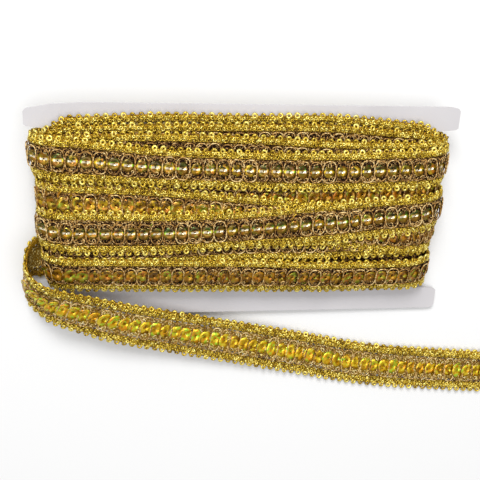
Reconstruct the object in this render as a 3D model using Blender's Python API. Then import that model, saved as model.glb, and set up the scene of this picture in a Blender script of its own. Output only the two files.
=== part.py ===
"""Sequin gimp trim, 20 mm wide, wound flat round a notched white card with one loose end.

Metres, +Z up. The wound card leans a little: the back of the winding is pressed flat on the
surface (z = 0), the card's lower long edge almost touches it and its upper long edge is raised.
The origin lies on that flat spot, under the middle of the card.

The card has a frame of its own: u along its length, v up its height, w out of its front face.
"""

import math
from dataclasses import dataclass

import bmesh
import bpy
from mathutils import Matrix, Vector

# Driving dimensions of the card
CARD_LENGTH = 0.170
CARD_HEIGHT = 0.088
CARD_THICKNESS = 0.0016
WAIST_LENGTH = 0.146
WAIST_HEIGHT = 0.068
EAR_CHAMFER = 0.0055
EAR_BEND_START = -0.062
EAR_BEND_DEPTH = 0.0015
EAR_BEND_CUTS = 5

# How the wound card lies
CARD_LEAN = math.radians(9.0)
CARD_ROLL = math.radians(1.0)
CARD_EDGE_LIFT = 0.0003

# Driving dimensions of the trim
TRIM_WIDTH = 0.020
TRIM_THICKNESS = 0.0016
GIMP_THICKNESS = 0.0022

# The wound form
GAP = 0.0003
END_FULLNESS = 0.78
BACK_FULLNESS = 1.15
END_SHAPE_POWER = 2.3
LONG_STEPS = 32
END_STEPS = 9
STEP_RUN = 0.0004
SLOT_CORNER = 0.5
TAIL_ROOM = 0.0036
TAIL_ROOM_START = -0.046
TAIL_ROOM_FULL = -0.058
TAIL_STEPS_PER_STATION = 4

# How much further each end of the winding reaches than its thickness alone gives, in
# millimetres, by the place up the card in millimetres
LEFT_SPREAD = ((-31.4, 1.4), (-28.8, 0.6), (-22.8, -0.4), (-15.4, 0.0), (-9.6, -0.2), (3.2, 0.0),
               (18.9, 0.4), (25.2, 1.4), (31.6, 1.8), (33.4, 1.6))
RIGHT_SPREAD = ((-32.2, 1.0), (-29.9, -0.4), (-24.2, -2.3), (-17.3, -2.4), (-10.4, -2.8), (-2.4, -2.4),
                (4.2, -1.4), (10.6, -1.1), (12.8, -2.7), (16.0, -2.2), (22.6, -1.1), (28.6, -0.1),
                (31.4, 0.9), (33.2, 1.3))

CARD_WHITE = (0.80, 0.79, 0.80, 1.0)
TRIM_GOLD = (0.58, 0.42, 0.10, 1.0)


@dataclass(frozen=True)
class Ear:
    """One corner of the card: which corner, and how far its outer corner is cut down."""

    side: int
    end: int
    corner_drop: float
    drop_run: float


EARS = (
    Ear(side=1, end=1, corner_drop=0.0006, drop_run=0.006),
    Ear(side=1, end=-1, corner_drop=0.0027, drop_run=0.023),
    Ear(side=-1, end=-1, corner_drop=0.0006, drop_run=0.003),
    Ear(side=-1, end=1, corner_drop=0.0006, drop_run=0.003),
)


@dataclass(frozen=True)
class WoundLine:
    """One line of the relief that the wound bands make, in millimetres on the card's frame.

    v_front holds its places up the card at five stations from the left end to the right end,
    v_ends its places at the very ends, v_back its place at the middle of the back, and height
    how far it stands off the card. step says which side of the line drops to the band beneath.
    """

    name: str
    v_front: tuple
    v_ends: tuple
    v_back: float
    height: float
    step: str


WOUND_LINES = (
    WoundLine("first band, upper picots", (39.3, 40.8, 40.6, 40.7, 38.2), (33.1, 33.0), 39.0, 2.0, "none"),
    WoundLine("first band, upper edge", (38.2, 39.7, 39.5, 39.7, 37.1), (33.0, 32.8), 37.8, 3.4, "none"),
    WoundLine("second band, upper edge", (35.6, 36.2, 36.7, 36.6, 34.2), (32.7, 32.3), 33.0, 5.6, "above"),
    WoundLine("third band, upper edge", (32.6, 33.2, 32.4, 30.8, 30.6), (32.3, 31.4), 29.5, 8.0, "above"),
    WoundLine("top band, upper edge", (31.4, 28.1, 26.8, 26.6, 27.7), (31.6, 28.6), 25.5, 10.2, "above"),
    WoundLine("top band, sequins", (23.8, 21.2, 20.8, 20.6, 21.5), (25.2, 22.6), 18.5, 11.5, "none"),
    WoundLine("top band, lower edge", (17.2, 15.7, 14.5, 13.7, 14.5), (18.9, 16.0), 11.5, 11.6, "below"),
    WoundLine("hidden band, sequins", (10.4, 9.6, 8.8, 9.8, 11.6), (10.6, 12.8), 7.5, 10.0, "none"),
    WoundLine("middle band, upper edge", (3.4, 2.8, 3.7, 6.8, 9.2), (3.2, 10.6), 3.0, 11.2, "above"),
    WoundLine("middle band, sequins", (-4.0, -4.4, -3.0, -0.6, 2.4), (-3.2, 4.2), -3.5, 11.9, "none"),
    WoundLine("middle band, lower edge", (-11.6, -11.7, -9.8, -8.0, -4.7), (-9.6, -2.4), -9.5, 11.4, "below"),
    WoundLine("sunken band", (-13.8, -13.8, -13.6, -13.4, -12.0), (-12.4, -10.4), -13.0, 9.6, "none"),
    WoundLine("last band, upper edge", (-16.2, -16.7, -17.4, -18.8, -18.6), (-15.4, -17.3), -17.0, 10.6, "above"),
    WoundLine("last band, sequins", (-23.2, -24.1, -24.5, -25.2, -24.8), (-22.8, -24.2), -24.0, 10.2, "none"),
    WoundLine("last band, lower edge", (-29.0, -29.7, -30.3, -31.0, -30.6), (-28.8, -29.9), -30.0, 7.0, "none"),
    WoundLine("last band, lower picots", (-31.6, -32.0, -32.5, -33.0, -32.8), (-31.4, -32.2), -31.8, 3.4, "none"),
)


@dataclass(frozen=True)
class TailStation:
    """One place along the loose end: its centre in millimetres, and how its width lies.

    heading turns the width in plan from +Y towards +X, and tilt raises its upper edge.
    """

    x: float
    y: float
    z: float
    heading: float
    tilt: float


TAIL_STATIONS = (
    TailStation(-63.0, -17.5, 1.2, 0.0, 0.0),
    TailStation(-72.0, -17.7, 1.2, 0.0, 0.0),
    TailStation(-80.4, -18.4, 2.2, 0.0, 3.0),
    TailStation(-86.2, -19.8, 6.4, 8.0, 28.0),
    TailStation(-87.4, -23.4, 10.2, 9.5, 39.0),
    TailStation(-86.2, -28.9, 14.0, 9.5, 37.0),
    TailStation(-81.9, -33.5, 15.4, 8.0, 33.0),
    TailStation(-76.2, -37.1, 14.8, 8.5, 27.0),
    TailStation(-63.6, -41.6, 12.5, 10.0, 17.5),
    TailStation(-50.9, -45.7, 10.3, 10.3, 10.5),
    TailStation(-28.1, -51.3, 6.9, 10.3, 7.0),
    TailStation(-2.0, -57.2, 4.1, 10.5, 3.2),
    TailStation(26.0, -63.4, 1.7, 10.5, 0.0),
    TailStation(54.0, -69.0, 1.1, 9.0, 0.0),
    TailStation(82.0, -71.9, 1.1, 5.5, 0.0),
    TailStation(114.0, -74.2, 1.1, 2.5, 0.0),
)

MM = 0.001


def clear_scene():
    """Removes what the scene holds."""
    for obj in list(bpy.data.objects):
        bpy.data.objects.remove(obj, do_unlink=True)


def make_material(name, colour, roughness, metallic):
    """Returns a Principled material of one colour."""
    material = bpy.data.materials.new(name)
    material.use_nodes = True
    shader = material.node_tree.nodes["Principled BSDF"]
    shader.inputs["Base Color"].default_value = colour
    shader.inputs["Roughness"].default_value = roughness
    shader.inputs["Metallic"].default_value = metallic
    return material


def card_frame():
    """Returns the matrix that takes the card's (u, v, w) to the world."""
    lowest = 0.5 * CARD_HEIGHT * math.sin(CARD_LEAN) + 0.5 * CARD_LENGTH * math.sin(CARD_ROLL)
    height = lowest + 0.5 * CARD_THICKNESS + CARD_EDGE_LIFT
    lean = Matrix.Rotation(CARD_LEAN, 4, "X")
    roll = Matrix.Rotation(CARD_ROLL, 4, "Y")
    return Matrix.Translation((0.0, 0.0, height)) @ lean @ roll


def mesh_object(name, verts, faces, material, collection):
    """Makes a closed mesh object whose faces point outwards."""
    mesh = bpy.data.meshes.new(name)
    mesh.from_pydata(verts, [], faces)
    mesh.materials.append(material)
    finish_mesh(mesh)
    obj = bpy.data.objects.new(name, mesh)
    collection.objects.link(obj)
    return obj


def finish_mesh(mesh):
    """Turns a closed mesh's faces outwards and smooths what is round."""
    bm = bmesh.new()
    bm.from_mesh(mesh)
    bmesh.ops.recalc_face_normals(bm, faces=bm.faces)
    if bm.calc_volume(signed=True) < 0:
        bmesh.ops.reverse_faces(bm, faces=bm.faces)
    bm.to_mesh(mesh)
    bm.free()
    mesh.shade_smooth()
    mesh.set_sharp_from_angle(angle=math.radians(35))


def catmull(values, place):
    """Returns a smooth curve through evenly spaced values, at a place from 0 to len - 1."""
    last = len(values) - 1
    index = min(int(place), last - 1)
    t = place - index
    before = values[max(index - 1, 0)]
    here, after = values[index], values[index + 1]
    beyond = values[min(index + 2, last)]
    linear = (after - before) * t
    square = (2 * before - 5 * here + 4 * after - beyond) * t**2
    cube = (3 * here - before - 3 * after + beyond) * t**3
    return here + 0.5 * (linear + square + cube)


def ear_outline(ear):
    """Returns one ear's corner points, from the long edge round to the waist."""
    tip = 0.5 * CARD_LENGTH
    edge = 0.5 * CARD_HEIGHT
    notch = 0.5 * WAIST_HEIGHT
    points = (
        (tip - ear.drop_run, edge),
        (tip - 0.45 * ear.drop_run, edge - 0.3 * ear.corner_drop),
        (tip - 0.0008, edge - ear.corner_drop),
        (tip, edge - ear.corner_drop - 0.0010),
        (tip, notch + 0.0016),
        (tip - 0.0010, notch + 0.0009),
        (tip - EAR_CHAMFER, notch + 0.0004),
        (0.5 * WAIST_LENGTH, notch),
    )
    return [(ear.end * u, ear.side * v) for u, v in points]


def card_outline():
    """Returns the card's outline, anticlockwise from its upper right ear."""
    outline = []
    for ear in EARS:
        points = ear_outline(ear)
        outline += reversed(points) if ear.side == ear.end else points
    return outline


def bend_ear(bm):
    """Bends the upper left ear back a little, along cuts across the card."""
    reach = 0.5 * CARD_LENGTH + EAR_BEND_START
    notch, strip = 0.5 * WAIST_HEIGHT, 0.5 * (CARD_HEIGHT - WAIST_HEIGHT)
    for i in range(EAR_BEND_CUTS):
        place = Vector((EAR_BEND_START - reach * i / EAR_BEND_CUTS, 0.0, 0.0))
        geometry = bm.verts[:] + bm.edges[:] + bm.faces[:]
        bmesh.ops.bisect_plane(bm, geom=geometry, plane_co=place, plane_no=(1.0, 0.0, 0.0))
    for vert in bm.verts:
        past = EAR_BEND_START - vert.co.x
        above = (vert.co.y - notch) / strip
        if past > 0 and above > 0:
            vert.co.z -= EAR_BEND_DEPTH * above * (past / reach) ** 2


def build_card(material, collection):
    """Makes the notched card as one thick outline."""
    bm = bmesh.new()
    half = 0.5 * CARD_THICKNESS
    face = bm.faces.new([bm.verts.new((u, v, -half)) for u, v in card_outline()])
    made = bmesh.ops.extrude_face_region(bm, geom=[face])
    upper = [item for item in made["geom"] if isinstance(item, bmesh.types.BMVert)]
    bmesh.ops.translate(bm, verts=upper, vec=(0.0, 0.0, CARD_THICKNESS))
    bend_ear(bm)
    mesh = bpy.data.meshes.new("card")
    bm.to_mesh(mesh)
    bm.free()
    mesh.materials.append(material)
    finish_mesh(mesh)
    obj = bpy.data.objects.new("card", mesh)
    obj.matrix_world = card_frame()
    collection.objects.link(obj)
    return obj


@dataclass(frozen=True)
class Ring:
    """One closed line round the card: places up the card, and how far it stands off."""

    v_front: tuple
    v_ends: tuple
    v_back: float
    height: float


def wound_rings():
    """Returns the rings of the outer relief from top to bottom, with a step at each lip."""
    rings = []
    thickness = TRIM_THICKNESS / MM
    run = STEP_RUN / MM
    for line in WOUND_LINES:
        lip = Ring(line.v_front, line.v_ends, line.v_back, line.height)
        shift = run if line.step == "above" else -run
        sunk_v = tuple(v + shift for v in line.v_front)
        sunk_ends = tuple(v + shift for v in line.v_ends)
        sunk = Ring(sunk_v, sunk_ends, line.v_back + shift, line.height - thickness)
        if line.step == "above":
            rings += [sunk, lip]
        elif line.step == "below":
            rings += [lip, sunk]
        else:
            rings.append(lip)
    return rings


def end_spread(table, v):
    """Returns how much further an end reaches at a place up the card, in millimetres."""
    if v <= table[0][0]:
        return table[0][1]
    for (v_low, low), (v_high, high) in zip(table, table[1:]):
        if v <= v_high:
            return low + (high - low) * (v - v_low) / (v_high - v_low)
    return table[-1][1]


def end_span(ring, side):
    """Returns where one end of a ring starts to turn and how far it reaches."""
    table, v = (RIGHT_SPREAD, ring.v_ends[1]) if side > 0 else (LEFT_SPREAD, ring.v_ends[0])
    reach = 0.5 * WAIST_LENGTH + GAP + (END_FULLNESS * ring.height + end_spread(table, v)) * MM
    return reach - 0.006 - 0.75 * ring.height * MM, reach


def ring_points(ring):
    """Returns a ring's (u, v, w) points: along the front, round the right end, back, left."""
    start_left, reach_left = end_span(ring, -1)
    start_right, reach_right = end_span(ring, 1)
    front_w = ring.height * MM
    back_w = -BACK_FULLNESS * ring.height * MM
    v_left, v_right = ring.v_ends[0] * MM, ring.v_ends[1] * MM
    back = (ring.v_ends[1], ring.v_back, ring.v_back, ring.v_back, ring.v_ends[0])
    points = []
    for i in range(LONG_STEPS):
        share = i / (LONG_STEPS - 1)
        v = catmull(ring.v_front, share * (len(ring.v_front) - 1)) * MM
        points.append((-start_left + (start_left + start_right) * share, v, front_w))
    turned = ring.v_front[-1] * MM
    points += end_points(start_right, reach_right, (turned, v_right, v_right), front_w, back_w)
    for i in range(LONG_STEPS):
        share = i / (LONG_STEPS - 1)
        v = catmull(back, share * (len(back) - 1)) * MM
        points.append((start_right - (start_left + start_right) * share, v, back_w))
    turned = ring.v_front[0] * MM
    left = end_points(start_left, reach_left, (v_left, v_left, turned), back_w, front_w)
    points += [(-u, v, w) for u, v, w in left]
    return points


def end_points(start, reach, v_course, w_first, w_last):
    """Returns the points of one rounded end between a front and a back height.

    v_course holds the places up the card before the end, at its middle and after it.
    """
    points = []
    for i in range(1, END_STEPS + 1):
        angle = math.pi * i / (END_STEPS + 1)
        outward = math.sin(angle) ** (2 / END_SHAPE_POWER)
        along = abs(math.cos(angle)) ** (2 / END_SHAPE_POWER)
        w = along * (w_first if angle < 0.5 * math.pi else w_last)
        corner = v_course[0] if angle < 0.5 * math.pi else v_course[2]
        v = v_course[1] + (corner - v_course[1]) * (1 - math.sin(angle))
        points.append((start + (reach - start) * outward, v, w))
    return points


def slot_points(ring):
    """Returns the slot's line that faces a ring: a flat rectangle just clear of the card."""
    half_u = 0.5 * WAIST_LENGTH + GAP
    half_w = 0.5 * CARD_THICKNESS + GAP
    outer = ring_points(ring)
    start_left, start_right = end_span(ring, -1)[0], end_span(ring, 1)[0]
    points = []
    for index, (u, v, w) in enumerate(outer):
        turn = index % (LONG_STEPS + END_STEPS) - LONG_STEPS
        on_front = index < LONG_STEPS + END_STEPS
        if turn < 0:
            start = start_right if u > 0 else start_left
            points.append((u / start * half_u, v, half_w if on_front else -half_w))
        else:
            share = 1 - 2 * (turn + 1) / (END_STEPS + 1)
            depth = half_w if abs(share) > SLOT_CORNER else half_w * abs(share)
            side = 1 if on_front else -1
            v_end = ring.v_ends[1 if on_front else 0] * MM
            points.append((side * half_u, v_end, math.copysign(depth, share * side)))
    return points


def resting_height(x):
    """Returns the height of the winding's underside: on the surface, or over the loose end."""
    share = (x - TAIL_ROOM_START) / (TAIL_ROOM_FULL - TAIL_ROOM_START)
    share = min(max(share, 0.0), 1.0)
    return TAIL_ROOM * share * share * (3 - 2 * share)


def build_winding(material, collection):
    """Makes the wound trim: the relief's rings outside, the card's slot through the middle."""
    rings = wound_rings()
    loops = [ring_points(ring) for ring in rings]
    loops += [slot_points(rings[-1]), slot_points(rings[0])]
    frame = card_frame()
    verts = []
    for loop in loops:
        for point in loop:
            place = frame @ Vector(point)
            verts.append((place.x, place.y, max(place.z, resting_height(place.x))))
    around = len(loops[0])
    faces = []
    for i in range(len(loops)):
        below = (i + 1) % len(loops)
        for j in range(around):
            after = (j + 1) % around
            corners = (i * around + j, i * around + after, below * around + after, below * around + j)
            faces.append(corners)
    return mesh_object("winding", verts, faces, material, collection)


def tail_section():
    """Returns the loose end's section: a flat strip with a thicker gimp cord on each edge."""
    half = 0.5 * TRIM_WIDTH
    cord = 0.5 * GIMP_THICKNESS
    web = 0.5 * TRIM_THICKNESS
    upper = ((half, 0.0), (half - 0.0007, cord), (half - 0.0030, cord), (half - 0.0042, web))
    right = [(x, z) for x, z in upper]
    left = [(-x, z) for x, z in reversed(upper)]
    over = right + left
    under = [(x, -z) for x, z in reversed(over[1:-1])]
    return over + under


def tail_place(place):
    """Returns the loose end's centre, width direction and face direction at a place."""
    def value(name):
        return catmull([getattr(station, name) for station in TAIL_STATIONS], place)

    def centre_at(at):
        at = min(max(at, 0.0), len(TAIL_STATIONS) - 1.0)
        centre = Vector([
            catmull([getattr(station, name) for station in TAIL_STATIONS], at) for name in "xyz"
        ]) * MM
        centre.z = max(centre.z, 0.5 * GIMP_THICKNESS)
        return centre

    heading, tilt = math.radians(value("heading")), math.radians(value("tilt"))
    width = Vector((
        math.sin(heading) * math.cos(tilt), math.cos(heading) * math.cos(tilt), math.sin(tilt)
    ))
    along = (centre_at(place + 0.02) - centre_at(place - 0.02)).normalized()
    face = along.cross(width).normalized()
    return centre_at(place), width, face


def build_tail(material, collection):
    """Makes the loose end as one strip swept through its stations."""
    section = tail_section()
    steps = (len(TAIL_STATIONS) - 1) * TAIL_STEPS_PER_STATION
    verts = []
    for i in range(steps + 1):
        centre, width, face = tail_place(i / TAIL_STEPS_PER_STATION)
        verts += [centre + width * x + face * z for x, z in section]
    count = len(section)
    faces = [tuple(range(count)), tuple(range(steps * count, (steps + 1) * count))]
    for i in range(steps):
        for j in range(count):
            after = (j + 1) % count
            faces.append((i * count + j, i * count + after, (i + 1) * count + after, (i + 1) * count + j))
    return mesh_object("tail", verts, faces, material, collection)


def main():
    """Builds the wound card and its loose end."""
    clear_scene()
    collection = bpy.data.collections.new("sequin_trim")
    bpy.context.scene.collection.children.link(collection)
    white = make_material("white_card", CARD_WHITE, roughness=0.7, metallic=0.0)
    gold = make_material("gold_trim", TRIM_GOLD, roughness=0.4, metallic=0.5)
    build_card(white, collection)
    build_winding(gold, collection)
    build_tail(gold, collection)


main()
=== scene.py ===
"""Sequin gimp trim, 20 mm wide, wound flat round a notched white card with one loose end.

Metres, +Z up, in the CAD model's frame. The white card is the CAD node with a finish of its own.
The wound trim is made turn by turn: each turn is a strip of braid that lies along three rails, and
the braid's ground, gimp edgings, thread loops and sequins are set out on that strip.
"""

import logging
import math
from dataclasses import dataclass, field, replace
from enum import Enum
from typing import Any, Callable, Optional

import bpy
from mathutils import Matrix, Vector


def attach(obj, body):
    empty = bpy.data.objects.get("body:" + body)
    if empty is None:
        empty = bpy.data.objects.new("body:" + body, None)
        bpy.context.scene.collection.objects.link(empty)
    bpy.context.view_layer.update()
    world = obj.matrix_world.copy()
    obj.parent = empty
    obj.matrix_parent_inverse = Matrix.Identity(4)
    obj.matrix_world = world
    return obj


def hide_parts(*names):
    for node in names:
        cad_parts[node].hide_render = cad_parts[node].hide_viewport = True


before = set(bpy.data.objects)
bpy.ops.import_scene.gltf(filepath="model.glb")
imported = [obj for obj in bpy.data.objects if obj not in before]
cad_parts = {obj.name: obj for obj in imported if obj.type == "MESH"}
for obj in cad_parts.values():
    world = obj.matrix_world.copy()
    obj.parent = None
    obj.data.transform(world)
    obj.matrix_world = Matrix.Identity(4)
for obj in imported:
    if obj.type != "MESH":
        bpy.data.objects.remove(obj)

log = logging.getLogger("sequin_trim")

MM = 0.001

# The card and how it leans, as in the CAD model
CARD_LENGTH = 0.170
CARD_HEIGHT = 0.088
CARD_THICKNESS = 0.0016
WAIST_LENGTH = 0.146
CARD_LEAN = math.radians(9.0)
CARD_ROLL = math.radians(1.0)
CARD_EDGE_LIFT = 0.0003
GAP = 0.0003
TAIL_ROOM = 0.0036
TAIL_ROOM_START = -0.046
TAIL_ROOM_FULL = -0.058

# How the winding's ends reach out and start to turn, and how far its back stands off the card, as
# shares of a line's height; then the turn's own depth in metres, how square it is and its points,
# and the steps along the front and the back
END_FULLNESS = 0.78
END_START = 0.75
BACK_FULLNESS = 1.15
END_ROUND = 0.006
END_POWER = 2.3
END_STEPS = 15
FACE_STEPS = 47

# How much further each end of the winding reaches than its thickness alone gives, in
# millimetres, by the place up the card, as in the CAD model
LEFT_SPREAD = ((-31.4, 1.4), (-28.8, 0.6), (-22.8, -0.4), (-15.4, 0.0), (-9.6, -0.2), (3.2, 0.0),
               (18.9, 0.4), (25.2, 1.4), (31.6, 1.8), (33.4, 1.6))
RIGHT_SPREAD = ((-32.2, 1.0), (-29.9, -0.4), (-24.2, -2.3), (-17.3, -2.4), (-10.4, -2.8), (-2.4, -2.4),
                (4.2, -1.4), (10.6, -1.1), (12.8, -2.7), (16.0, -2.2), (22.6, -1.1), (28.6, -0.1),
                (31.4, 0.9), (33.2, 1.3))

# The braid; its edging's place is in millimetres from its middle
BRAID_DEPTH = 0.0010
EDGING_PLACE = 8.0
GROUND_THICKNESS = 0.0005

# Nothing is made lower than this over the table, in metres
LOWEST = 0.0001


def linear(hex_colour: str) -> tuple[float, float, float, float]:
    """Turns an sRGB colour into the linear colour that a shader takes.

    Args:
        hex_colour: the colour as "#rrggbb".

    Returns:
        Red, green, blue and an alpha of 1.
    """
    parts = [int(hex_colour[i:i + 2], 16) / 255 for i in (1, 3, 5)]
    rgb = [p / 12.92 if p <= 0.04045 else ((p + 0.055) / 1.055) ** 2.4 for p in parts]
    return (rgb[0], rgb[1], rgb[2], 1.0)


class NodeBuilder:
    """Builds one node tree, node by node."""

    def __init__(self, tree: bpy.types.NodeTree) -> None:
        """Starts on a tree."""
        self.tree = tree

    def add(self, kind: str, settings: Optional[dict[Any, Any]] = None,
            links: Optional[dict[Any, bpy.types.NodeSocket]] = None) -> bpy.types.Node:
        """Adds one node with its settings and links.

        Args:
            kind: the node's type name.
            settings: values by the name of a property, or by an input's name or number.
            links: sockets to link from, by the input's name or number.

        Returns:
            The new node.
        """
        node = self.tree.nodes.new(kind)
        for key, value in (settings or {}).items():
            if isinstance(key, str) and hasattr(node, key):
                setattr(node, key, value)
            else:
                node.inputs[key].default_value = value
        for key, socket in (links or {}).items():
            self.tree.links.new(socket, node.inputs[key])
        return node

    def math(self, operation: str, *values: bpy.types.NodeSocket | float) -> bpy.types.NodeSocket:
        """Returns the result of a sum on up to three numbers or sockets."""
        settings = {i: v for i, v in enumerate(values) if isinstance(v, (int, float))}
        links = {i: v for i, v in enumerate(values) if i not in settings}
        return self.add("ShaderNodeMath", {"operation": operation, **settings}, links).outputs[0]

    def split(self, vector: bpy.types.NodeSocket) -> bpy.types.bpy_prop_collection:
        """Returns the parts X, Y and Z of a vector."""
        return self.add("ShaderNodeSeparateXYZ", links={0: vector}).outputs


class MaterialBuilder(NodeBuilder):
    """Builds one material. Its patterns lie in the object's own coordinates."""

    def __init__(self, name: str) -> None:
        """Starts a material of this name."""
        self.material = bpy.data.materials.new(name)
        self.material.use_nodes = True
        super().__init__(self.material.node_tree)
        self.place = self.add("ShaderNodeTexCoord").outputs["Object"]

    def noise(self, scale: float, detail: float) -> bpy.types.NodeSocket:
        """Returns the level of a noise of this scale, in waves to the metre."""
        noise = self.add("ShaderNodeTexNoise", {"Scale": scale, "Detail": detail}, {"Vector": self.place})
        return noise.outputs["Fac"]

    def cells(self, size_mm: float) -> bpy.types.bpy_prop_collection:
        """Returns the distance and the colour of cells of this size."""
        return self.add(
            "ShaderNodeTexVoronoi", {"Scale": 1 / (size_mm * MM)}, {"Vector": self.place}).outputs

    def stored(self, name: str) -> bpy.types.NodeSocket:
        """Returns the mesh's attribute of this name."""
        return self.add("ShaderNodeAttribute", {
            "attribute_type": "GEOMETRY", "attribute_name": name}).outputs["Fac"]

    def ramp(
        self, factor: bpy.types.NodeSocket, *stops: tuple[float, str | float]
    ) -> bpy.types.NodeSocket:
        """Adds a ramp of colours or of grey levels.

        Args:
            factor: what the ramp reads.
            *stops: places from 0 to 1, each with an sRGB colour or a linear level.

        Returns:
            The ramp's colour.
        """
        node = self.add("ShaderNodeValToRGB", links={"Fac": factor})
        elements = node.color_ramp.elements
        while len(elements) < len(stops):
            elements.new(0.5)
        for element, (place, value) in zip(elements, stops):
            element.position = place
            element.color = linear(value) if isinstance(value, str) else (value, value, value, 1.0)
        return node.outputs["Color"]

    def mix(
        self, share: bpy.types.NodeSocket, first: bpy.types.NodeSocket, second: bpy.types.NodeSocket
    ) -> bpy.types.NodeSocket:
        """Returns the first colour with this share of the second one in it."""
        node = self.add("ShaderNodeMix", {"data_type": "RGBA"}, {0: share, 6: first, 7: second})
        return node.outputs[2]

    def end(
        self,
        colour: bpy.types.NodeSocket,
        relief: tuple[bpy.types.NodeSocket, float, float],
        values: dict[str, float],
    ) -> bpy.types.Material:
        """Joins everything to the Principled shader.

        Args:
            colour: the base colour.
            relief: the bump's height, strength and distance.
            values: the shader's other values by name.

        Returns:
            The finished material.
        """
        shader = self.tree.nodes["Principled BSDF"]
        self.tree.links.new(colour, shader.inputs["Base Color"])
        height, strength, distance = relief
        bump = self.add(
            "ShaderNodeBump", {"Strength": strength, "Distance": distance}, {"Height": height})
        self.tree.links.new(bump.outputs["Normal"], shader.inputs["Normal"])
        for label, value in values.items():
            shader.inputs[label].default_value = value
        return self.material


@dataclass(frozen=True)
class CoatedBoard:
    """Bleached solid board, machine-coated white and die-cut: matt, faintly grey and mottled."""

    white: str = "#c9c6c8"
    grey: str = "#c0bdbf"
    fibre_mm: float = 1.2
    roughness: float = 0.62

    def build(self) -> bpy.types.Material:
        """Returns the board's material."""
        made = MaterialBuilder("coated white board, die-cut")
        colour = made.ramp(made.noise(28.0, 3.0), (0.35, self.grey), (0.65, self.white))
        fibre = made.noise(1 / (self.fibre_mm * MM), 4.0)
        return made.end(colour, (fibre, 0.10, 0.00005), {"Roughness": self.roughness})


@dataclass(frozen=True)
class MetallisedCord:
    """Cotton core wrapped in metallised polyester strip: a bright, broken, grainy gold gleam.

    The wrap is far finer than a pixel, so its glints and shade are painted as grains of grain_mm: light
    grains are painted glints, shade grains painted shade, body the gold itself. A small spread sets its dark
    and light grains apart sharply.
    """

    name: str
    # shade and light are painted shade and painted glint colours; body is the cord's own colour
    shade: str
    body: str
    light: str
    grain_mm: float = 0.55
    spread: float = 0.75
    roughness: float = 0.34
    metallic: float = 0.55
    sheen_level: float = 0.5
    bump: float = 0.5

    def build(self) -> bpy.types.Material:
        """Returns the cord's material."""
        made = MaterialBuilder(self.name)
        grain = made.noise(1 / (self.grain_mm * MM), 2.0)
        offset = made.math("MULTIPLY_ADD", made.stored("shade"), 0.22, -0.11)
        colour = made.ramp(
            made.math("ADD", grain, offset),
            (0.5 - 0.20 * self.spread, self.shade), (0.5 - 0.04 * self.spread, self.body),
            (0.5 + 0.08 * self.spread, self.body), (0.5 + 0.22 * self.spread, self.light))
        return made.end(colour, (grain, self.bump, 0.00012), {
            "Roughness": self.roughness, "Metallic": self.metallic,
            "Specular IOR Level": self.sheen_level})


@dataclass(frozen=True)
class CrochetedGround:
    """Viscose ground, crocheted with a metallic thread: dark between pale flecks of thread.

    Where the attribute "edge" is 1 the gimp's gold threads run through it, which turns it golden brown. Its
    near-black is partly the viscose's own dark, partly painted shade in the mesh's holes.
    """

    name: str = "crocheted viscose ground, dark brown"
    # Near-black: partly the dark viscose, partly painted shade in the holes between stitches
    dark: str = "#080303"
    brown: str = "#33190b"
    fleck: str = "#d0a058"
    edge_dark: str = "#4d320a"
    edge_light: str = "#b98c1f"
    stitch_mm: float = 0.6
    roughness: float = 0.7
    sheen_level: float = 0.1

    def build(self) -> bpy.types.Material:
        """Returns the ground's material."""
        made = MaterialBuilder(self.name)
        stitch = made.cells(self.stitch_mm)["Distance"]
        mixed = made.math("MULTIPLY", stitch, made.noise(900.0, 3.0))
        mesh = made.ramp(
            mixed, (0.08, self.dark), (0.22, self.brown), (0.30, self.dark), (0.40, self.fleck))
        gold = made.ramp(mixed, (0.10, self.edge_dark), (0.36, self.edge_light))
        colour = made.mix(made.stored("edge"), mesh, gold)
        return made.end(colour, (stitch, 0.8, 0.0002), {
            "Roughness": self.roughness, "Specular IOR Level": self.sheen_level})


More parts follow.
